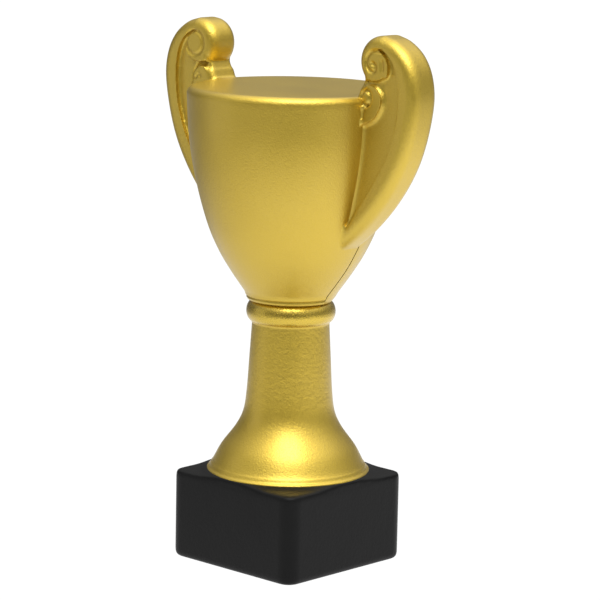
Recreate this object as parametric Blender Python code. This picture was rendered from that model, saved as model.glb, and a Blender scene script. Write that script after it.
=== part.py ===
"""Cup trophy: a closed two-handled cup on a turned pedestal and a square plinth.

Metres, +Z up. The origin is the centre of the underside, the front faces -Y and the
handles lie along X. Sizes below are in millimetres, and MM turns them into metres.
"""
import math

import bmesh
import bpy
from mathutils import Vector

MM = 0.001
GAP = 0.3                    # clearance between neighbouring pieces
HALF_GAP = GAP / 2
TURN_STEPS = 48              # facets round a turned piece

# Plinth
PLINTH_SIDE = 42.0
PLINTH_HEIGHT = 22.6
PLINTH_CORNER = 3.6          # radius of the four upright corners
PLINTH_EDGE = 1.5            # radius of the top and bottom edges
SEAT_RADIUS = 20.75          # raised ring that the foot stands in
SEAT_TOP = 23.2

# Pedestal: a bell-shaped foot and a plain column in one turned piece
FOOT_RADIUS = 20.5
FOOT_BOTTOM = SEAT_TOP + GAP
COLUMN_TOP = 60.9
FOOT_PEG_RADIUS = 6.0
FOOT_PEG_DEPTH = 6.0
TOP_PEG_RADIUS = 5.0
TOP_PEG_TOP = 72.0

# Collar ring between the column and the cup
COLLAR_RADIUS = 11.2
COLLAR_INNER_CROWN = 9.4     # radius where the crown meets the ring's flat ends
COLLAR_HEIGHT = 4.9

# Cup
CUP_BOTTOM = COLUMN_TOP + GAP + COLLAR_HEIGHT + GAP
CUP_TOP = 119.9
CUP_RADIUS = 26.8
CUP_LIP = 2.0                # radius of the rounded top edge
SEAM_Y = 1.6                 # the joint between the cup's two halves

# Handles: one mirrored pair, drawn in the X-Z plane on the +X side
HANDLE_THICK = 9.2
HANDLE_REACH = 43.0
HANDLE_REACH_HEIGHT = 120.0
HANDLE_TOP = 134.9
HANDLE_EDGE = 1.3            # bevel of the long edges
TAIL_TIP = (20.2, 82.2)
ROLL_CENTRE = (30.6, 128.6)
ROLL_RADIUS = 6.1
ROLL_UNDER = 4.7             # the roll draws in underneath, towards its eye
EYE_RADIUS = 3.0
EYE_GROOVE = 0.5
WEB_THICK = 6.5
WEB_TONGUE = 2.2             # how deep the web's tongue goes into the cup
BAND_TONGUE_THICK = 3.0      # the tongue along the web's outer edge, in the band's groove
BAND_TONGUE = 1.2
LOWER_CENTRE = (28.6, 119.2)
LOWER_RADIUS = 4.3
LOWER_TAIL = (25.0, 112.4)
PEG_RADIUS = 1.2
PEG_LENGTH = 3.0

GOLD = (0.58, 0.40, 0.07, 1.0)
BLACK = (0.02, 0.02, 0.022, 1.0)


def clear_scene():
    for obj in list(bpy.data.objects):
        bpy.data.objects.remove(obj, do_unlink=True)


def paint(name, colour, metallic, roughness):
    material = bpy.data.materials.new(name)
    material.use_nodes = True
    shader = material.node_tree.nodes["Principled BSDF"]
    shader.inputs["Base Color"].default_value = colour
    shader.inputs["Metallic"].default_value = metallic
    shader.inputs["Roughness"].default_value = roughness
    return material


def new_object(name, mesh_from, material):
    """An object whose mesh is the bmesh mesh_from, which is in millimetres."""
    bmesh.ops.recalc_face_normals(mesh_from, faces=mesh_from.faces)
    bmesh.ops.scale(mesh_from, vec=Vector((MM, MM, MM)), verts=mesh_from.verts)
    mesh = bpy.data.meshes.new(name)
    mesh_from.to_mesh(mesh)
    mesh_from.free()
    obj = bpy.data.objects.new(name, mesh)
    bpy.context.scene.collection.objects.link(obj)
    if material:
        mesh.materials.append(material)
    mesh.shade_smooth()
    mesh.set_sharp_from_angle(angle=math.radians(35))
    return obj


def helper(obj):
    """A cutter or guide, which isn't a piece of the trophy."""
    obj.hide_render = True
    obj.display_type = "WIRE"
    return obj


def boolean(obj, other, operation):
    modifier = obj.modifiers.new(operation.title() + " " + other.name, "BOOLEAN")
    modifier.operation = operation
    modifier.object = other
    modifier.solver = "EXACT"


def through(points, steps):
    """A smooth curve through the points, with that many straight steps between two of them."""
    first = [2 * points[0][i] - points[1][i] for i in (0, 1)]
    last = [2 * points[-1][i] - points[-2][i] for i in (0, 1)]
    guide = [first, *points, last]
    curve = []
    for a, b, c, d in zip(guide, guide[1:], guide[2:], guide[3:]):
        for step in range(steps):
            t = step / steps
            curve.append(tuple(
                0.5 * (2 * b[i] + (c[i] - a[i]) * t
                       + (2 * a[i] - 5 * b[i] + 4 * c[i] - d[i]) * t ** 2
                       + (3 * b[i] - a[i] - 3 * c[i] + d[i]) * t ** 3)
                for i in (0, 1)))
    return curve + [tuple(points[-1])]


def arc(centre, radius, start, end, steps, squash=1.0):
    """Points of an arc from start to end degrees; squash scales it along the second axis."""
    return [
        (centre[0] + radius * math.cos(math.radians(start + (end - start) * i / steps)),
         centre[1] + radius * squash * math.sin(math.radians(start + (end - start) * i / steps)))
        for i in range(steps + 1)
    ]


def turned(name, profile, material, closed=False):
    """A solid turned about Z from a profile of (radius, height) that runs down its outer side."""
    shape = bmesh.new()
    line = [shape.verts.new((radius, 0, height)) for radius, height in profile]
    edges = [shape.edges.new(pair) for pair in zip(line, line[1:])]
    if closed:
        edges.append(shape.edges.new((line[-1], line[0])))
    bmesh.ops.spin(shape, geom=line + edges, cent=(0, 0, 0), axis=(0, 0, 1),
                   angle=2 * math.pi, steps=TURN_STEPS, use_merge=True)
    bmesh.ops.remove_doubles(shape, verts=shape.verts, dist=0.001)
    return new_object(name, shape, material)


def plate(name, outline, half_thick, material, edge=0.0):
    """A plate drawn as a closed (x, z) outline and extruded along Y, with its long edges bevelled."""
    shape = bmesh.new()
    face = shape.faces.new([shape.verts.new((x, -half_thick, z)) for x, z in outline])
    grown = bmesh.ops.extrude_face_region(shape, geom=[face])
    moved = [item for item in grown["geom"] if isinstance(item, bmesh.types.BMVert)]
    bmesh.ops.translate(shape, verts=moved, vec=(0, 2 * half_thick, 0))
    if edge:
        rims = [item for item in shape.edges
                if abs(item.verts[0].co.y - item.verts[1].co.y) < 0.001]
        bmesh.ops.bevel(shape, geom=rims, offset=edge, segments=2, profile=0.5,
                        affect="EDGES", clamp_overlap=True)
    return new_object(name, shape, material)


def cylinder(name, centre, radius, length, axis, material=None, steps=24):
    shape = bmesh.new()
    bmesh.ops.create_cone(shape, cap_ends=True, segments=steps, radius1=radius,
                          radius2=radius, depth=length)
    turn = Vector((0, 0, 1)).rotation_difference(Vector(axis)).to_matrix()
    bmesh.ops.rotate(shape, cent=(0, 0, 0), matrix=turn, verts=shape.verts)
    bmesh.ops.translate(shape, vec=Vector(centre), verts=shape.verts)
    return new_object(name, shape, material)


def block(name, low, high, material=None):
    shape = bmesh.new()
    bmesh.ops.create_cube(shape, size=1.0)
    size = [b - a for a, b in zip(low, high)]
    middle = [(a + b) / 2 for a, b in zip(low, high)]
    bmesh.ops.scale(shape, vec=Vector(size), verts=shape.verts)
    bmesh.ops.translate(shape, vec=Vector(middle), verts=shape.verts)
    return new_object(name, shape, material)


def make_plinth(black):
    """The square block, with rounded corners, a raised seat for the foot and a socket for its peg."""
    half = PLINTH_SIDE / 2
    shape = bmesh.new()
    bmesh.ops.create_cube(shape, size=1.0)
    bmesh.ops.scale(shape, vec=Vector((PLINTH_SIDE, PLINTH_SIDE, PLINTH_HEIGHT)), verts=shape.verts)
    bmesh.ops.translate(shape, vec=Vector((0, 0, PLINTH_HEIGHT / 2)), verts=shape.verts)
    uprights = [e for e in shape.edges if abs(e.verts[0].co.z - e.verts[1].co.z) > 1]
    bmesh.ops.bevel(shape, geom=uprights, offset=PLINTH_CORNER, segments=5, profile=0.5,
                    affect="EDGES")
    level = [e for e in shape.edges
             if abs(e.verts[0].co.z - e.verts[1].co.z) < 0.001 and len(e.link_faces) == 2
             and any(abs(f.normal.z) > 0.9 for f in e.link_faces)
             and max(abs(e.verts[0].co.x), abs(e.verts[0].co.y)) > half - PLINTH_CORNER - 0.1]
    bmesh.ops.bevel(shape, geom=level, offset=PLINTH_EDGE, segments=3, profile=0.5,
                    affect="EDGES")
    plinth = new_object("plinth", shape, black)
    seat = turned("seat_guide", [
        (0, SEAT_TOP), (SEAT_RADIUS - 0.3, SEAT_TOP), (SEAT_RADIUS, PLINTH_HEIGHT + 0.2),
        (SEAT_RADIUS, PLINTH_HEIGHT - 1.2), (0, PLINTH_HEIGHT - 1.2)], None)
    boolean(plinth, helper(seat), "UNION")
    depth = FOOT_PEG_DEPTH + GAP
    socket = cylinder("peg_socket_cutter", (0, 0, SEAT_TOP - depth / 2 + 1), FOOT_PEG_RADIUS + GAP,
                      depth + 2, (0, 0, 1))
    boolean(plinth, helper(socket), "DIFFERENCE")


def make_pedestal(gold):
    """Foot and column. Its lower peg stands in the plinth, its upper one holds collar and cup."""
    skirt = through([(10.9, 41.9), (11.15, 39.8), (12.3, 36.0), (15.0, 31.7), (17.9, 27.5),
                     (19.5, 24.8), (FOOT_RADIUS, FOOT_BOTTOM)], 3)
    profile = [
        (0, TOP_PEG_TOP), (TOP_PEG_RADIUS, TOP_PEG_TOP), (TOP_PEG_RADIUS, COLUMN_TOP),
        (9.72, COLUMN_TOP), (10.3, 50.6), *skirt,
        (FOOT_PEG_RADIUS, FOOT_BOTTOM), (FOOT_PEG_RADIUS, SEAT_TOP - FOOT_PEG_DEPTH),
        (0, SEAT_TOP - FOOT_PEG_DEPTH)]
    turned("pedestal", profile, gold)


def make_collar(gold):
    """A half-round ring, threaded on the pedestal's upper peg."""
    middle = (COLLAR_INNER_CROWN, COLUMN_TOP + GAP + COLLAR_HEIGHT / 2)
    crown_width = COLLAR_RADIUS - COLLAR_INNER_CROWN
    crown = arc(middle, crown_width, 90, -90, 10, squash=COLLAR_HEIGHT / 2 / crown_width)
    bore = TOP_PEG_RADIUS + GAP
    profile = [(bore, crown[0][1]), *crown, (bore, crown[-1][1])]
    turned("collar_ring", profile, gold, closed=True)


def cup_wall():
    """The cup's outer side from the start of its rounded top edge down to its bottom."""
    lip = arc((CUP_RADIUS - CUP_LIP, CUP_TOP - CUP_LIP), CUP_LIP, 90, 0, 4)
    side = through([(CUP_RADIUS, CUP_TOP - CUP_LIP), (26.65, 112.5), (25.9, 104.5), (24.5, 96.5),
                    (22.65, 90.0), (20.65, 84.0), (17.5, 77.3), (13.6, 71.2), (10.6, CUP_BOTTOM)], 2)
    return lip[:-1] + side


def make_cup(gold):
    """Two half-shells joined on the plane of the handles; the top is closed and flat."""
    socket = TOP_PEG_RADIUS + GAP
    profile = [(0, CUP_TOP), *cup_wall(), (socket, CUP_BOTTOM), (socket, TOP_PEG_TOP + GAP),
               (0, TOP_PEG_TOP + GAP)]
    web_slot = WEB_THICK / 2 + GAP
    sides = {"cup_front_half": (-60, SEAM_Y - HALF_GAP), "cup_rear_half": (SEAM_Y + HALF_GAP, 60)}
    slots = [helper(plate(f"web_slot_cutter_{side}", web_outline(sign, WEB_TONGUE + GAP),
                          web_slot, None)) for side, sign in SIDES.items()]
    for name, (low_y, high_y) in sides.items():
        half = turned(name, profile, gold)
        keep = helper(block(f"{name}_space", (-60, low_y, 50), (60, high_y, 140)))
        boolean(half, keep, "INTERSECT")
        for slot in slots:
            boolean(half, slot, "DIFFERENCE")


SIDES = {"left": -1, "right": 1}


def outer_edge():
    """The handle's outer edge, from the tail's tip up to the top of the roll."""
    return through([TAIL_TIP, (25.6, 86.4), (31.3, 92.3), (36.0, 98.6), (39.3, 104.9),
                    (41.9, 112.5), (HANDLE_REACH, HANDLE_REACH_HEIGHT), (41.9, 126.2),
                    (39.1, 130.7), (35.3, 133.7), (ROLL_CENTRE[0] + 0.8, HANDLE_TOP)], 3)


def crease():
    """Where the band meets the recessed web, from under the roll down to the tail."""
    return through([(36.4, 125.6), (37.0, 120.6), (36.7, 113.0), (34.6, 106.9),
                    (31.5, 101.3), (27.7, 95.7), (23.4, 89.6), (19.4, 84.4)], 3)


def mirrored(points, sign):
    return [(sign * x, z) for x, z in points]


def web_outline(sign, depth):
    """The web, from the crease to a tongue that goes that deep into the cup's wall."""
    outer = [(x - GAP, z) for x, z in crease()]
    inner = [(18.6 - depth, 84.4), (22.2 - depth, 90.0), (25.4 - depth, 104.5),
             (26.2 - depth, LOWER_TAIL[1] - 0.8)]
    round_scroll = arc(LOWER_CENTRE, LOWER_RADIUS + GAP, -62, 62, 10)
    under_roll = arc(ROLL_CENTRE, ROLL_UNDER + GAP, 268, 322, 5)
    return mirrored(outer + inner + round_scroll + under_roll, sign)


def edge_strip(sign, reach):
    """A strip along the crease that reaches that far into the band."""
    line = crease()[1:-4]
    return mirrored([(x + reach, z) for x, z in line] + [(x - 3, z) for x, z in line[::-1]], sign)


def make_handles(gold):
    """Each handle is a band that rolls up at the top, a recessed web and a small lower scroll."""
    cup_space = helper(turned("cup_space_cutter", [
        (0, CUP_TOP + GAP),
        *[(r + GAP, z + (GAP if z > CUP_TOP - 1 else 0)) for r, z in cup_wall()],
        (0, CUP_BOTTOM)], None))
    eye_ring = [(EYE_RADIUS + EYE_GROOVE, 1), (EYE_RADIUS + EYE_GROOVE, -1),
                (EYE_RADIUS, -1), (EYE_RADIUS, 1)]
    for side, sign in SIDES.items():
        roll = (arc(ROLL_CENTRE, ROLL_RADIUS, 100, 228, 12)
                + arc(ROLL_CENTRE, ROLL_UNDER, 255, 325, 6))
        band = plate(f"handle_band_{side}", mirrored(outer_edge() + roll + crease(), sign),
                     HANDLE_THICK / 2, gold, HANDLE_EDGE)
        boolean(band, cup_space, "DIFFERENCE")
        for face, depth_sign in (("front", -1), ("rear", 1)):
            ring = helper(turned(f"eye_groove_cutter_{side}_{face}", eye_ring, None, closed=True))
            ring.rotation_euler = (math.pi / 2, 0, 0)
            ring.location = Vector((sign * ROLL_CENTRE[0], depth_sign * (HANDLE_THICK / 2 + 0.5),
                                    ROLL_CENTRE[1])) * MM
            boolean(band, ring, "DIFFERENCE")
        web = plate(f"handle_web_{side}", web_outline(sign, WEB_TONGUE), WEB_THICK / 2, gold)
        tongue = helper(plate(f"band_tongue_guide_{side}", edge_strip(sign, BAND_TONGUE),
                              BAND_TONGUE_THICK / 2, None))
        boolean(web, tongue, "UNION")
        groove = helper(plate(f"band_groove_cutter_{side}", edge_strip(sign, BAND_TONGUE + GAP),
                              BAND_TONGUE_THICK / 2 + GAP, None))
        boolean(band, groove, "DIFFERENCE")
        lower = plate(f"lower_scroll_{side}",
                      mirrored([LOWER_TAIL, *arc(LOWER_CENTRE, LOWER_RADIUS, -60, 190, 20)], sign),
                      HANDLE_THICK / 2, gold, 0.9)
        boolean(lower, cup_space, "DIFFERENCE")
        start = (sign * (LOWER_CENTRE[0] + LOWER_RADIUS), 0, LOWER_CENTRE[1] - 1.2)
        peg = helper(cylinder(f"scroll_peg_guide_{side}", start, PEG_RADIUS, PEG_LENGTH, (1, 0, 0),
                              steps=12))
        boolean(lower, peg, "UNION")
        hole = helper(cylinder(f"scroll_peg_cutter_{side}", start, PEG_RADIUS + GAP,
                               PEG_LENGTH + 2 * GAP, (1, 0, 0), steps=12))
        boolean(web, hole, "DIFFERENCE")


def main():
    clear_scene()
    gold = paint("gold_paint", GOLD, 0.85, 0.42)
    black = paint("black_paint", BLACK, 0.0, 0.45)
    make_plinth(black)
    make_pedestal(gold)
    make_collar(gold)
    make_cup(gold)
    make_handles(gold)


main()
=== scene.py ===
"""Cup trophy, finished surfaces: soft moulded foam in satin gold and black paint.

Metres, +Z up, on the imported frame. Sizes are in millimetres and MM turns them into metres.
The front faces -Y and the handles lie along X.
"""
import math

import bmesh
import bpy
import numpy as np
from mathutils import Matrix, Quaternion, Vector


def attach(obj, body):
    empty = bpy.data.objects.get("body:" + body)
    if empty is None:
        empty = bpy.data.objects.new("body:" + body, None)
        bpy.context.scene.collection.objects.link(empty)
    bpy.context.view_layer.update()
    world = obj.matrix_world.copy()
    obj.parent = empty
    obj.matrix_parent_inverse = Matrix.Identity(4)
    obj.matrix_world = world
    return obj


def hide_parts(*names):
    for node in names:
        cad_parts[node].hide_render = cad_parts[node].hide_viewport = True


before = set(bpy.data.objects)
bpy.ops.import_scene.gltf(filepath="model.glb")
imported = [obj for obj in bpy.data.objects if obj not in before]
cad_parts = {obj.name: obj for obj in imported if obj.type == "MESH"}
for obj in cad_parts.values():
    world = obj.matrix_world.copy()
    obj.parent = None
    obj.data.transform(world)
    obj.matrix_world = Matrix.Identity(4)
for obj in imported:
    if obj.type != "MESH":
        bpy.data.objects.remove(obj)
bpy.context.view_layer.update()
bpy.ops.object.select_all(action="DESELECT")

MM = 0.001

# CAMERA AND STUDIO
# A long lens, a little above the cup and to the right of its front, turned a touch on its axis.
# The light comes from a dim room that is bright overhead and dark at the horizon, from a round white
# table that glows most near the trophy, and from two soft boxes.
VIEW_AZIMUTH = math.radians(43.55)
VIEW_RISE = math.radians(9.733)
VIEW_ROLL = math.radians(1.154)
VIEW_DISTANCE = 711 * MM
VIEW_PIVOT = Vector((0, 0, 73.5 * MM))
AIM_RIGHT = 2.21 * MM
AIM_DOWN = 7.07 * MM
SENSOR_WIDTH = 36
FOCAL_LENGTH = 170.7

back = Vector((math.sin(VIEW_AZIMUTH) * math.cos(VIEW_RISE),
               -math.cos(VIEW_AZIMUTH) * math.cos(VIEW_RISE), math.sin(VIEW_RISE)))
right = Vector((math.cos(VIEW_AZIMUTH), math.sin(VIEW_AZIMUTH), 0))
above = back.cross(right)
bpy.ops.object.camera_add(location=VIEW_PIVOT + back * VIEW_DISTANCE)
camera = bpy.context.object
camera.name = "view_camera"
aim = VIEW_PIVOT + right * AIM_RIGHT - above * AIM_DOWN
gaze = (aim - camera.location).to_track_quat("-Z", "Y")
camera.rotation_euler = (gaze @ Quaternion((0, 0, 1), VIEW_ROLL)).to_euler()
camera.data.sensor_width = SENSOR_WIDTH
camera.data.lens = FOCAL_LENGTH
bpy.context.scene.camera = camera
bpy.context.scene.view_settings.view_transform = "Standard"


class Wire:
    """A node's output, which Python arithmetic turns into Math nodes."""

    def __init__(self, nodes, socket):
        self.nodes = nodes
        self.socket = socket

    def maths(self, operation, first, second):
        return self.nodes.add("Math", {"operation": operation}, {0: first, 1: second})

    def __add__(self, other):
        return self.maths("ADD", self, other)

    def __mul__(self, other):
        return self.maths("MULTIPLY", self, other)

    __radd__ = __add__
    __rmul__ = __mul__


class Nodes:
    """The nodes of a material or a world."""

    def __init__(self, owner):
        owner.use_nodes = True
        self.owner = owner
        self.tree = owner.node_tree

    def add(self, kind, settings=None, sockets=None, output=0):
        """Add a node: its settings first, then its sockets' values and links."""
        node = self.tree.nodes.new("ShaderNode" + kind)
        for name, value in (settings or {}).items():
            if name == "stops":
                self.set_stops(node.color_ramp, value)
            else:
                setattr(node, name, value)
        self.feed(node, sockets or {})
        return Wire(self, node.outputs[output])

    def set_stops(self, ramp, stops):
        while len(ramp.elements) < len(stops):
            ramp.elements.new(1)
        for element, (position, colour) in zip(ramp.elements, stops):
            element.position = position
            element.color = (*colour, 1) if isinstance(colour, tuple) else (colour, colour, colour, 1)

    def feed(self, node, sockets):
        for name, value in sockets.items():
            if isinstance(value, Wire):
                self.tree.links.new(value.socket, node.inputs[name])
            else:
                node.inputs[name].default_value = value

    def mix(self, factor, first, second):
        """A colour between two others."""
        return self.add("Mix", {"data_type": "RGBA"}, {0: factor, 6: first, 7: second}, output=2)


WALLS = ((0.0, 0.5), (0.42, 0.27), (0.5, 0.12), (0.6, 0.1), (0.7, 0.18), (0.79, 0.36), (0.93, 0.82),
         (1.0, 1.0))
WALLS_LIGHT = 2.0
LIT_SIDE = (0.4, 0.05)       # how much brighter the room grows towards +X and towards +Y
DARK_SIDE = (0.69, -0.72)    # the way in which the room's dark doorway lies
DARK_SHARE = 0.4             # the light left in that direction
DARK_WALLS = (0.75, 1.0)     # the room darkens between these shares of that direction
DARK_TABLE = (0.42, 0.75)    # and the table between these
SEEN_WHITE = 1.05            # what the camera itself sees of room and table

world = bpy.data.worlds.new("studio")
bpy.context.scene.world = world
room = Nodes(world)
direction = room.add("TexCoord")
across, along, height = (room.add("SeparateXYZ", None, {0: direction}, output=i) for i in range(3))
walls = room.add("ValToRGB", {"stops": WALLS}, {0: height * 0.5 + 0.5})
lean = across * LIT_SIDE[0] + along * LIT_SIDE[1] + 1
doorway = room.add("MapRange", {"interpolation_type": "SMOOTHSTEP"}, {
    "Value": across * DARK_SIDE[0] + along * DARK_SIDE[1], "From Min": DARK_WALLS[0],
    "From Max": DARK_WALLS[1], "To Min": 1.0, "To Max": DARK_SHARE})
room_light = room.add("Background", None, {"Color": walls, "Strength": lean * doorway * WALLS_LIGHT})
backdrop = room.add("Background", None, {"Color": (1, 1, 1, 1), "Strength": SEEN_WHITE})
seen = room.add("LightPath")
shown = room.add("MixShader", None, {0: seen, 1: room_light, 2: backdrop})
room.feed(world.node_tree.nodes["World Output"], {"Surface": shown})


def soft_box(name, azimuth, rise, distance, size, watts):
    """A square lamp in that direction from the cup; azimuth 0 is in front, 90 on the +X side."""
    azimuth, rise = math.radians(azimuth), math.radians(rise)
    way = Vector((math.sin(azimuth) * math.cos(rise), -math.cos(azimuth) * math.cos(rise),
                  math.sin(rise)))
    bpy.ops.object.light_add(type="AREA", location=VIEW_PIVOT + way * distance,
                             rotation=way.to_track_quat("Z", "Y").to_euler())
    lamp = bpy.context.object
    lamp.name = name
    lamp.data.shape = "SQUARE"
    lamp.data.size = size
    lamp.data.energy = watts


soft_box("overhead_soft_box", azimuth=44, rise=62, distance=0.9, size=0.55, watts=4.8)
soft_box("front_left_soft_box", azimuth=-45, rise=6, distance=1.2, size=0.8, watts=1.0)

TABLE_RADIUS = 450.0
TABLE_DROP = 0.05
TABLE_FALLOFF = ((0.0, 0.57), (0.25, 0.6), (0.4, 0.62), (0.55, 0.55), (0.75, 0.28), (1.0, 0.24))
TABLE_LIGHT = 2.0
TABLE_LEAN = (0.7, 0.0)      # how much brighter the table grows towards +X and towards +Y

bpy.ops.mesh.primitive_circle_add(vertices=96, radius=TABLE_RADIUS * MM, fill_type="NGON",
                                  location=(0, 0, -TABLE_DROP * MM))
table = bpy.context.object
table.name = "studio_table"
table_paint = Nodes(bpy.data.materials.new("white_table"))
spot = table_paint.add("TexCoord", output=3)
spot = table_paint.add("VectorMath", {"operation": "SCALE"}, {0: spot, "Scale": 1 / (TABLE_RADIUS * MM)})
middle = table_paint.add("VectorMath", {"operation": "LENGTH"}, {0: spot}, output=1)
falloff = table_paint.add("ValToRGB", {"stops": TABLE_FALLOFF}, {0: middle})
spot_x, spot_y = (table_paint.add("SeparateXYZ", None, {0: spot}, output=i) for i in (0, 1))
shade = table_paint.add("MapRange", {"interpolation_type": "SMOOTHSTEP"}, {
    "Value": spot_x * DARK_SIDE[0] + spot_y * DARK_SIDE[1], "From Min": DARK_TABLE[0],
    "From Max": DARK_TABLE[1], "To Min": 1.0, "To Max": DARK_SHARE})
glow_here = (spot_x * TABLE_LEAN[0] + spot_y * TABLE_LEAN[1] + 1) * shade * TABLE_LIGHT
white_paper = table_paint.add("Emission", None, {"Color": falloff, "Strength": glow_here})
lit_paper = table_paint.add("Emission", None, {"Color": (1, 1, 1, 1), "Strength": SEEN_WHITE})
glow = table_paint.add("LightPath")
paper = table_paint.add("MixShader", None, {0: glow, 1: white_paper, 2: lit_paper})
table_paint.feed(table_paint.tree.nodes["Material Output"], {"Surface": paper})
table.data.materials.append(table_paint.owner)
bpy.ops.object.select_all(action="DESELECT")

# PLINTH
# A square block of soft foam dipped in black paint, with rounded corners and edges. Its top face
# rises in a hollow curve to the ring in which the gold foot is glued.
PLINTH_SIDE = 42.0
PLINTH_HEIGHT = 22.6
CORNER_RADIUS = 3.6
EDGE_RADIUS = 1.5
SEAT = ((20.9, 23.25), (21.2, 23.05), (21.9, 22.8), (23.0, 22.55), (24.6, 22.35), (29.0, 22.2))
SEAT_SUNK = 20.0
SEAT_FACETS = 128
SEAT_TRIM = 0.1              # how much narrower than the block the seat's square outline is
PLINTH_GRAIN = 0.42          # size of the squares of its skin
BLACK_DEEP = (0.003, 0.003, 0.003, 1)
BLACK_PALE = (0.007, 0.007, 0.007, 1)


def pick(kind, test):
    """In edit mode, select only the edges, faces or points that pass the test."""
    bpy.ops.mesh.select_mode(type=kind)
    bpy.ops.mesh.select_all(action="DESELECT")
    shape = bmesh.from_edit_mesh(bpy.context.object.data)
    for item in {"VERT": shape.verts, "EDGE": shape.edges, "FACE": shape.faces}[kind]:
        item.select_set(test(item))
    shape.select_flush_mode()
    bmesh.update_edit_mesh(bpy.context.object.data)


def begin_edit(piece):
    bpy.ops.object.select_all(action="DESELECT")
    bpy.context.view_layer.objects.active = piece
    piece.select_set(True)
    bpy.ops.object.mode_set(mode="EDIT")
    bpy.ops.mesh.select_all(action="SELECT")


def end_edit():
    bpy.ops.mesh.select_all(action="SELECT")
    bpy.ops.mesh.normals_make_consistent(inside=False)
    bpy.ops.object.mode_set(mode="OBJECT")


def finish_by(piece, kind, **settings):
    """Add a modifier of that kind and apply it."""
    bpy.context.view_layer.objects.active = piece
    modifier = piece.modifiers.new(kind.title(), kind)
    for name, value in settings.items():
        setattr(modifier, name, value)
    bpy.ops.object.modifier_apply(modifier=modifier.name)


def twin(piece, name):
    """A copy with its own mesh."""
    copy = piece.copy()
    copy.data = piece.data.copy()
    copy.name = name
    bpy.context.scene.collection.objects.link(copy)
    return copy


def turned(name, profile, facets):
    """A closed turned piece: a disc pulled up ring by ring through (radius, height) points."""
    radius, height = profile[0]
    bpy.ops.mesh.primitive_circle_add(vertices=facets, radius=radius * MM, fill_type="NGON",
                                      location=(0, 0, height * MM))
    piece = bpy.context.object
    piece.name = name
    bpy.ops.object.transform_apply(location=True)
    begin_edit(piece)
    for next_radius, next_height in profile[1:]:
        bpy.ops.mesh.extrude_region_move(
            TRANSFORM_OT_translate={"value": (0, 0, (next_height - height) * MM)})
        ratio = next_radius / radius
        bpy.ops.transform.resize(value=(ratio, ratio, 1), center_override=(0, 0, 0))
        radius, height = next_radius, next_height
    end_edit()
    return piece


def block(name, side, bottom, top, corner):
    """An upright square block with rounded corners."""
    bpy.ops.mesh.primitive_cube_add(size=1, location=(0, 0, (bottom + top) / 2 * MM),
                                    scale=(side * MM, side * MM, (top - bottom) * MM))
    piece = bpy.context.object
    piece.name = name
    bpy.ops.object.transform_apply(location=True, scale=True)
    begin_edit(piece)
    pick("EDGE", lambda edge: abs(edge.verts[0].co.z - edge.verts[1].co.z) > MM)
    bpy.ops.mesh.bevel(offset=corner * MM, segments=10, affect="EDGES")
    end_edit()
    return piece


plinth = block("painted_plinth", PLINTH_SIDE, 0, PLINTH_HEIGHT, CORNER_RADIUS)
begin_edit(plinth)
pick("EDGE", lambda edge: abs(edge.verts[0].co.z - edge.verts[1].co.z) < 1e-6)
bpy.ops.mesh.bevel(offset=EDGE_RADIUS * MM, segments=8, affect="EDGES")
end_edit()
seat = turned("seat", [(SEAT[-1][0], SEAT_SUNK), *reversed(SEAT)], SEAT_FACETS)
bound = block("bound", PLINTH_SIDE - SEAT_TRIM, SEAT_SUNK - 1, PLINTH_HEIGHT + 5, CORNER_RADIUS)
finish_by(seat, "BOOLEAN", operation="INTERSECT", object=bound, solver="EXACT")
bpy.data.objects.remove(bound)
seat.select_set(True)
plinth.select_set(True)
bpy.context.view_layer.objects.active = plinth
bpy.ops.object.join()
finish_by(plinth, "REMESH", mode="VOXEL", voxel_size=PLINTH_GRAIN * MM)
finish_by(plinth, "SMOOTH", factor=0.5, iterations=7)
bpy.ops.object.select_all(action="DESELECT")
plinth.select_set(True)
bpy.ops.object.shade_smooth()

black = Nodes(bpy.data.materials.new("black_dip_paint"))
place = black.add("TexCoord", output=3)
cloud = black.add("TexNoise", None, {"Vector": place, "Scale": 90, "Detail": 3})
fine = black.add("TexNoise", None, {"Vector": place, "Scale": 1500, "Detail": 2})
skin = black.add("Bump", None, {"Height": cloud * 3 + fine, "Strength": 0.2, "Distance": 0.2 * MM})
black.feed(black.tree.nodes["Principled BSDF"], {
    "Base Color": black.mix(cloud, BLACK_DEEP, BLACK_PALE), "Roughness": cloud * 0.16 + 0.34,
    "Specular IOR Level": 0.13, "Normal": skin})
plinth.data.materials.append(black.owner)
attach(plinth, "root")
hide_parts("plinth")

# PEDESTAL
# The bell-shaped foot and the plain column are one piece of gold-painted foam, turned in shape.
# The foot flicks out where it is glued into the plinth's ring.
TURN_STEPS = 160
COLUMN_TOP = 61.2
FOOT_AND_COLUMN = ((20.5, 23.2), (20.4, 23.45), (19.9, 23.9), (19.5, 24.6), (18.9, 25.5), (16.9, 29.2),
                   (13.5, 33.8), (11.6, 37.8), (10.8, 43.0), (10.2, 52.5), (9.75, 60.0), (9.8, 60.7),
                   (9.95, COLUMN_TOP))


def through(points, steps):
    """A smooth curve through the points, with that many straight steps between two of them."""
    first = [2 * points[0][i] - points[1][i] for i in (0, 1)]
    last = [2 * points[-1][i] - points[-2][i] for i in (0, 1)]
    guide = [first, *points, last]
    curve = []
    for a, b, c, d in zip(guide, guide[1:], guide[2:], guide[3:]):
        for step in range(steps):
            t = step / steps
            curve.append(tuple(
                0.5 * (2 * b[i] + (c[i] - a[i]) * t
                       + (2 * a[i] - 5 * b[i] + 4 * c[i] - d[i]) * t ** 2
                       + (3 * b[i] - a[i] - 3 * c[i] + d[i]) * t ** 3)
                for i in (0, 1)))
    return curve + [tuple(points[-1])]


def smooth_shading(piece, angle):
    bpy.ops.object.select_all(action="DESELECT")
    piece.select_set(True)
    bpy.context.view_layer.objects.active = piece
    bpy.ops.object.shade_smooth_by_angle(angle=math.radians(angle))


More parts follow.
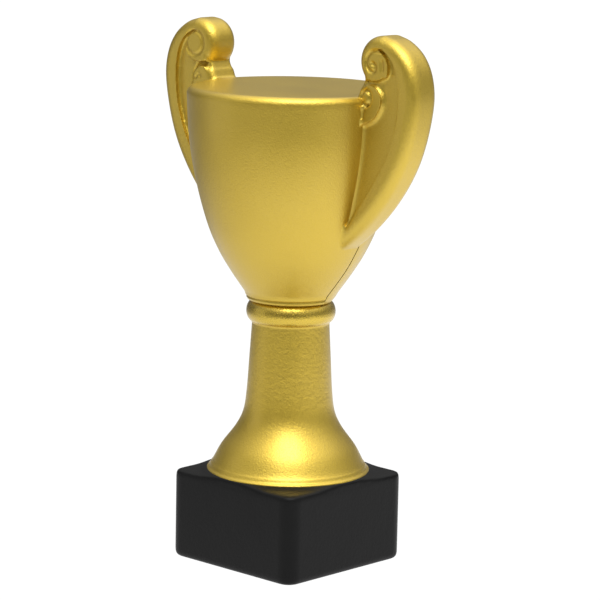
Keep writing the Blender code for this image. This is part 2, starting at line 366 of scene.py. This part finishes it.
GOLD_DEEP = (0.55, 0.378, 0.03, 1)
GOLD_BRIGHT = (0.64, 0.462, 0.06, 1)
FLAKE_SIZE = 0.22
GRAIN_SIZE = 0.45
PEEL_RISE = 8                # the height over which the orange peel comes in


def gold_paint(name, peel_size, peel_height, peel_start=0, roughness=0.33):
    """Satin gold spray paint: fine metal flakes under a thin clear skin, with orange peel above a
    height of peel_start."""
    gold = Nodes(bpy.data.materials.new(name))
    place = gold.add("TexCoord", output=3)
    cloud = gold.add("TexNoise", None, {"Vector": place, "Scale": 60, "Detail": 3})
    peel = gold.add("TexNoise", None, {"Vector": place, "Scale": 1 / (peel_size * MM), "Detail": 2})
    flake = gold.add("TexVoronoi", None, {"Vector": place, "Scale": 1 / (FLAKE_SIZE * MM)}, output=1)
    spark = gold.add("SeparateColor", None, {0: flake})
    grain = gold.add("TexNoise", None, {"Vector": place, "Scale": 1 / (GRAIN_SIZE * MM), "Detail": 1})
    up = gold.add("SeparateXYZ", None, {0: place}, output=2)
    peeled = gold.add("MapRange", None, {"Value": up, "From Min": peel_start * MM,
                                         "From Max": (peel_start + PEEL_RISE) * MM})
    skin = gold.add("Bump", None, {"Height": peel * peeled * peel_height + grain + spark * 0.2,
                                   "Strength": 0.5, "Distance": 0.1 * MM})
    gold.feed(gold.tree.nodes["Principled BSDF"], {
        "Base Color": gold.mix(cloud * 0.7 + spark * 0.3, GOLD_DEEP, GOLD_BRIGHT),
        "Metallic": 0.88, "Roughness": cloud * 0.1 + spark * 0.08 + roughness,
        "Coat Weight": 0.6, "Coat Roughness": 0.3, "Normal": skin})
    return gold.owner


pedestal = turned("painted_pedestal", through(FOOT_AND_COLUMN, 6), TURN_STEPS)
smooth_shading(pedestal, 40)
pedestal.data.materials.append(gold_paint("column_gold", 1.0, 2.4, peel_start=34))
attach(pedestal, "root")
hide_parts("pedestal")

# COLLAR
# A plain round bead of the same foam, between the top of the column and the bottom of the cup.
# Its underside meets the column in a crisp groove.
COLLAR_BOTTOM = 61.0
COLLAR_TOP = 66.4
COLLAR_WAIST = 9.4
COLLAR_BULGE = 1.8


def bead(bottom, top, waist, bulge, steps):
    """(radius, height) points up a round bead."""
    middle, half = (bottom + top) / 2, (top - bottom) / 2
    turns = [math.pi * (i / steps - 0.5) for i in range(steps + 1)]
    return [(waist + bulge * math.cos(turn), middle + half * math.sin(turn)) for turn in turns]


collar = turned("painted_collar", bead(COLLAR_BOTTOM, COLLAR_TOP, COLLAR_WAIST, COLLAR_BULGE, 24),
                TURN_STEPS)
smooth_shading(collar, 40)
collar.data.materials.append(gold_paint("collar_gold", 0.8, 0.6, roughness=0.2))
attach(collar, "root")
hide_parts("collar_ring")

# CUP
# A closed cup moulded in a front and a rear half, glued along an upright seam that wanders a
# little. Low on the cup the joint stands slightly open. The front half has a thin lip at its foot.
CUP_TOP = 119.9
CUP_RADIUS = 26.8
RIM_RADIUS = 2.0
TOP_RING = 12.0              # the innermost ring of the flat top
REAR_INSET = 0.05            # how far the rear half's wall lies inside the front half's
REAR_INSET_RUN = 30.0        # the distance below the top over which that inset comes in
SEAM_GAP = 0.45              # the open joint low on the cup, closed above SEAM_CLOSED
SEAM_CLOSED = 90
SEAM_BLOCK = 50.0            # depth of the blocks that part the halves
SEAM_BLOCK_WIDTH = 80.0
SEAM = ((62, 0.0), (66, 0.2), (68.6, 0.4), (75.5, 2.1), (81.6, 3.0), (88, 2.4), (96, 1.6), (124, 1.6))
CUP_WALL = ((11.75, 68.65), (15.3, 73.8), (18.5, 79.2), (21.4, 86.0), (24.3, 96.5), (26.1, 107.0))
FRONT_LIP = ((10.3, 66.4), (11.0, 66.75), (11.25, 67.2), (11.2, 67.5), (11.16, 67.62), (11.5, 67.9))
REAR_START = ((10.2, 66.4), (10.9, 67.3), (11.3, 67.9))


def cup_profile(start, inset):
    """(radius, height) points up the cup's wall and over its rounded rim."""
    rim_middle = CUP_RADIUS - RIM_RADIUS
    rim = [(rim_middle + RIM_RADIUS * math.cos(math.pi * i / 16),
            CUP_TOP - RIM_RADIUS * (1 - math.sin(math.pi * i / 16))) for i in range(9)]
    wall = through([*CUP_WALL, rim[0]], 9)
    side = [(radius - inset * min(1, (CUP_TOP - height) / REAR_INSET_RUN), height)
            for radius, height in wall]
    return [*start, *side, *rim[1:], (TOP_RING, CUP_TOP)]


def seam_side(name, way):
    """A block that reaches from the seam to the front, way -1, or to the rear, way 1."""
    low, high = SEAM[0][0], SEAM[-1][0]
    bpy.ops.mesh.primitive_cube_add(
        size=1, location=(0, way * SEAM_BLOCK / 2 * MM, (low + high) / 2 * MM),
        scale=(SEAM_BLOCK_WIDTH * MM, SEAM_BLOCK * MM, (high - low) * MM))
    piece = bpy.context.object
    piece.name = name
    bpy.ops.object.transform_apply(location=True, scale=True)
    begin_edit(piece)
    for height, _ in SEAM[1:-1]:
        bpy.ops.mesh.select_all(action="SELECT")
        bpy.ops.mesh.bisect(plane_co=(0, 0, height * MM), plane_no=(0, 0, 1))
    for height, shift in SEAM:
        shift += SEAM_GAP if way > 0 and height < SEAM_CLOSED else 0
        pick("VERT", lambda point: abs(point.co.z - height * MM) < 1e-6 and abs(point.co.y) < 1e-6)
        bpy.ops.transform.translate(value=(0, shift * MM, 0))
    end_edit()
    return piece


cup_whole = turned("cup_whole", cup_profile(FRONT_LIP, 0), TURN_STEPS)
cup_front = twin(cup_whole, "painted_cup_front")
cup_rear = turned("painted_cup_rear", cup_profile(REAR_START, REAR_INSET), TURN_STEPS)
cup_gold = gold_paint("cup_gold", 0.9, 0.5)
for half, way, node in ((cup_front, -1, "cup_front_half"), (cup_rear, 1, "cup_rear_half")):
    side = seam_side("side", way)
    finish_by(half, "BOOLEAN", operation="INTERSECT", object=side, solver="EXACT")
    bpy.data.objects.remove(side)
    smooth_shading(half, 30)
    half.data.materials.clear()
    half.data.materials.append(cup_gold)
    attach(half, "root")
    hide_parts(node)

# HANDLES
# Each handle is a broad flat band that starts as a tail on the cup's flank, sweeps out and up and
# rolls over into a scroll. A thinner web fills it, and a small lower scroll sits on the rim.
BAND_HALF = 4.6
LOWER_HALF = 4.5
NECK_HALF = 3.5
WEB_HALF = 3.3
OUTER_ROUND = 2.7            # rounding of the band's outer edge
UNDER_ROUND = 1.6            # rounding under the roll and on the lower scroll
INNER_ROUND = 0.8            # rounding of the band's rim beside the web
BAND_OUTER = ((16.0, 79.6), (20.6, 82.4), (25.9, 86.7), (31.4, 92.4), (36.0, 98.6), (39.4, 105.0),
              (41.8, 112.5), (43.0, 120.2), (42.0, 126.3), (39.3, 130.8), (35.3, 133.7), (31.4, 134.9))
CREASE = ((30.8, 131.8), (32.6, 131.5), (34.6, 130.2), (36.2, 128.1), (37.3, 125.2), (37.8, 120.5),
          (37.1, 113.6), (35.0, 107.2), (31.9, 101.5), (28.1, 95.9), (23.6, 89.8), (19.4, 84.9),
          (16.0, 81.5))
ROLL = (30.6, 128.6)
ROLL_RADIUS = 6.2
ROLL_UNDER = ((26.4, 123.9), (29.5, 123.6), (31.9, 124.0), (33.3, 124.8))
ROLL_INNER = ((34.1, 125.7), (34.4, 127.2), (34.0, 128.8), (33.1, 130.1), (31.9, 130.9), (30.8, 131.3))
LOWER = (28.6, 119.2)
LOWER_RADIUS = 4.3
LOWER_TAIL = ((31.2, 115.3), (29.6, 113.9), (27.5, 113.0))
NECK = ((25.3, 122.0), (32.0, 122.0), (32.0, 125.0), (26.6, 125.0))
CORE_SHARE = 0.995           # the cup inside the handle's root, a little under its real skin
CORE_HALF = 9.0
CORE_INNER = 12.0
CORE_DROP = 0.5              # how far below the cup's top the core ends
HANDLE_GRAIN = 0.27
TAIL_SOFT_TOP = 92.0         # below this height the tail melts into the cup
TAIL_SOFT_DEPTH = 8.0
ROOT_SOFT_TOP = 118.0        # below this height the web meets the cup in a soft fillet
ROOT_SOFT = 2.5
CUP_STRAIGHT_DOWN_TO = 112.0
CUP_DRAW = 0.16              # how much the cup draws in per height below that
CUTTER_HALF = 8.0
WEB_CUTTER_HALF = 9.0


def arc(centre, radius, start, end, steps, stretch=1):
    """Points of an arc from start to end degrees, stretched upwards by a factor."""
    turns = [math.radians(start + (end - start) * i / steps) for i in range(steps + 1)]
    return [(centre[0] + radius * math.cos(turn), centre[1] + stretch * radius * math.sin(turn))
            for turn in turns]


def slab(name, outline, half):
    """An outline of (x, z) points pulled out to both sides of the handle's middle plane."""
    bpy.ops.mesh.primitive_circle_add(vertices=len(outline), fill_type="NGON")
    piece = bpy.context.object
    piece.name = name
    for point, (x, z) in zip(piece.data.vertices, outline):
        point.co = (x * MM, -half * MM, z * MM)
    begin_edit(piece)
    bpy.ops.mesh.extrude_region_move(TRANSFORM_OT_translate={"value": (0, 2 * half * MM, 0)})
    end_edit()
    return piece


def round_edges(piece, points, width, segments):
    """Bevel the slab's long edges whose ends are both among the points."""
    def listed(end):
        return any(abs(end.co.x - x * MM) + abs(end.co.z - z * MM) < 1e-6 for x, z in points)

    begin_edit(piece)
    pick("EDGE", lambda edge: abs(edge.verts[0].co.y - edge.verts[1].co.y) < 1e-6
         and listed(edge.verts[0]) and listed(edge.verts[1]))
    bpy.ops.mesh.bevel(offset=width * MM, segments=segments, affect="EDGES")
    end_edit()


outer_edge = through(BAND_OUTER, 5)
roll_edge = arc(ROLL, ROLL_RADIUS, 100, 222, 16)
under_edge = through(ROLL_UNDER, 3)
coil = through(ROLL_INNER, 2)
crease = through(CREASE, 4)
band_outline = [*outer_edge, *roll_edge, *under_edge, *coil, *crease]
lower_outline = [*arc(LOWER, LOWER_RADIUS, 125, -35, 18), *LOWER_TAIL, (24.0, 112.5), (22.0, 115.0),
                 (22.5, 119.5), (24.4, 120.2), (25.2, 122.2)]
web_outline = [(22.0, 84.9), (29.0, 92.0), (34.0, 99.5), (38.5, 110.0), (39.5, 118.0), (38.5, 125.0),
               (35.5, 130.0), (30.5, 132.5), (28.0, 128.0), (27.5, 122.5), (22.0, 117.0),
               (20.0, 100.0), (16.0, 84.0)]

band_slab = slab("band_slab", band_outline, BAND_HALF)
round_edges(band_slab, [*outer_edge, *roll_edge], OUTER_ROUND, 7)
round_edges(band_slab, under_edge, UNDER_ROUND, 5)
round_edges(band_slab, [*coil, *crease], INNER_ROUND, 3)
lower_slab = slab("lower_slab", lower_outline, LOWER_HALF)
round_edges(lower_slab, lower_outline, UNDER_ROUND, 5)
web_slab = slab("web_slab", web_outline, WEB_HALF)
neck_slab = slab("neck_slab", NECK, NECK_HALF)
core = twin(cup_whole, "core")
begin_edit(core)
for place_at, facing in (((0, CORE_HALF, 0), (0, 1, 0)), ((0, -CORE_HALF, 0), (0, -1, 0)),
                         ((CORE_INNER, 0, 0), (-1, 0, 0)), ((0, 0, CUP_TOP - CORE_DROP), (0, 0, 1))):
    bpy.ops.mesh.select_all(action="SELECT")
    bpy.ops.mesh.bisect(plane_co=Vector(place_at) * MM, plane_no=facing, clear_outer=True,
                        use_fill=True)
bpy.ops.mesh.select_all(action="SELECT")
bpy.ops.transform.resize(value=(CORE_SHARE, CORE_SHARE, 1), center_override=(0, 0, 0))
end_edit()
for part in (band_slab, lower_slab, web_slab, neck_slab, core):
    part.select_set(True)
bpy.context.view_layer.objects.active = band_slab
bpy.ops.object.join()
handle = band_slab
handle.name = "handle_whole"
finish_by(handle, "REMESH", mode="VOXEL", voxel_size=HANDLE_GRAIN * MM)
finish_by(handle, "SMOOTH", factor=0.5, iterations=11)
soft = handle.vertex_groups.new(name="soft")
for point in handle.data.vertices:
    cup_here = CUP_RADIUS - max(0, CUP_STRAIGHT_DOWN_TO - point.co.z / MM) * CUP_DRAW
    away = math.hypot(point.co.x, point.co.y) / MM - cup_here
    tail_share = (TAIL_SOFT_TOP - point.co.z / MM) / TAIL_SOFT_DEPTH
    foot_share = 1 - away / ROOT_SOFT if point.co.z < ROOT_SOFT_TOP * MM else 0
    soft.add([point.index], min(1, max(0, tail_share, foot_share)), "REPLACE")
finish_by(handle, "SMOOTH", factor=0.5, iterations=30, vertex_group="soft")
finish_by(handle, "BOOLEAN", operation="DIFFERENCE", object=cup_whole, solver="EXACT")

band_cutter = slab("band_cutter", [
    (18.0, 123.9), *under_edge, *coil, *crease, (14.0, 79.0), (14.0, 70.0), (50.0, 70.0),
    (50.0, 140.0), (18.0, 140.0)], CUTTER_HALF)
lower_side = [*arc(LOWER, LOWER_RADIUS, 100, -35, 16), *LOWER_TAIL, (18.0, 112.3)]
lower_cutter = slab("lower_cutter", [(18.0, 123.9), ROLL_UNDER[0], *lower_side], CUTTER_HALF)
web_cutter = slab("web_cutter", [(17.0, 125.0), (27.2, 125.0), *lower_side], WEB_CUTTER_HALF)


def cut(piece, cutter, operation):
    finish_by(piece, "BOOLEAN", operation=operation, object=cutter, solver="EXACT")
    return piece


def keep_largest(piece, name):
    """Drop the crumbs that a cut leaves beside the piece."""
    begin_edit(piece)
    bpy.ops.mesh.separate(type="LOOSE")
    bpy.ops.object.mode_set(mode="OBJECT")
    *crumbs, largest = sorted(bpy.context.selected_objects, key=lambda lump: len(lump.data.vertices))
    for crumb in crumbs:
        bpy.data.objects.remove(crumb)
    largest.name = name
    return largest


band = cut(twin(handle, "painted_band_right"), band_cutter, "INTERSECT")
lower = cut(twin(handle, "painted_lower_scroll_right"), lower_cutter, "INTERSECT")
web = cut(cut(handle, band_cutter, "DIFFERENCE"), web_cutter, "DIFFERENCE")
web = keep_largest(web, "painted_web_right")
for leftover in (band_cutter, lower_cutter, web_cutter, cup_whole):
    bpy.data.objects.remove(leftover)


def mirrored(piece, name):
    """The same piece on the other handle."""
    copy = twin(piece, name)
    begin_edit(copy)
    bpy.ops.transform.resize(value=(-1, 1, 1), center_override=(0, 0, 0))
    bpy.ops.mesh.flip_normals()
    bpy.ops.object.mode_set(mode="OBJECT")
    return copy


def engrave(piece, line, width, depth):
    """Press a groove into both broad faces, along a line of (x, z) points."""
    mesh = piece.data
    places = np.empty(3 * len(mesh.vertices))
    mesh.vertices.foreach_get("co", places)
    places = places.reshape(-1, 3) / MM
    away = np.full(len(places), np.inf)
    for (x0, z0), (x1, z1) in zip(line, line[1:]):
        run = np.array((x1 - x0, z1 - z0))
        from_start = places[:, (0, 2)] - (x0, z0)
        share = np.clip(from_start @ run / (run @ run), 0, 1)
        away = np.minimum(away, np.linalg.norm(from_start - share[:, None] * run, axis=1))
    places[:, 1] -= np.sign(places[:, 1]) * depth * np.exp(-(away / width) ** 2)
    mesh.vertices.foreach_set("co", (places * MM).ravel())
    mesh.update()


SPIRAL = [(32.1, 131.1), *arc((30.2, 128.3), 2.9, 84, 174, 10), *arc((29.3, 128.1), 1.9, 180, 270, 8),
          *arc((29.3, 127.15), 0.95, -70, 90, 8)]
DENT = ((32.4, 128.7), (32.6, 126.9))
EYE = (31.3, 128.6)
EYE_RING = 3.0
LOWER_EYE = arc((27.45, 119.75), 1.55, 0, 360, 24, stretch=1.2)
LOWER_FOLD = ((27.6, 117.9), (26.7, 116.6), (26.5, 115.0))
LOWER_HOOK = arc((28.4, 119.6), 3.9, 96, -10, 12)
LOWER_WAVE = ((31.6, 119.8), (30.8, 119.7), (30.1, 120.5), (29.5, 120.7), (29.0, 120.3))

band_left = mirrored(band, "painted_band_left")
web_left = mirrored(web, "painted_web_left")
lower_left = mirrored(lower, "painted_lower_scroll_left")
for line, width, depth in ((SPIRAL, 0.48, 0.6), (DENT, 0.5, 0.3), (LOWER_EYE, 0.42, 0.75),
                           (through(LOWER_FOLD, 4), 0.4, 0.5)):
    for piece in (band, web, lower):
        engrave(piece, line, width, depth)
for line, width, depth in ((arc(EYE, EYE_RING, 0, 360, 40), 0.45, 0.45), (LOWER_HOOK, 0.5, 0.9),
                           (through(LOWER_WAVE, 4), 0.3, 0.35)):
    for piece in (band_left, web_left, lower_left):
        engrave(piece, [(-x, z) for x, z in line], width, depth)
handle_gold = gold_paint("handle_gold", 0.8, 0.6)
for piece, node in ((band, "handle_band_right"), (web, "handle_web_right"),
                    (lower, "lower_scroll_right"), (band_left, "handle_band_left"),
                    (web_left, "handle_web_left"), (lower_left, "lower_scroll_left")):
    smooth_shading(piece, 50)
    piece.data.materials.clear()
    piece.data.materials.append(handle_gold)
    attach(piece, "root")
    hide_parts(node)
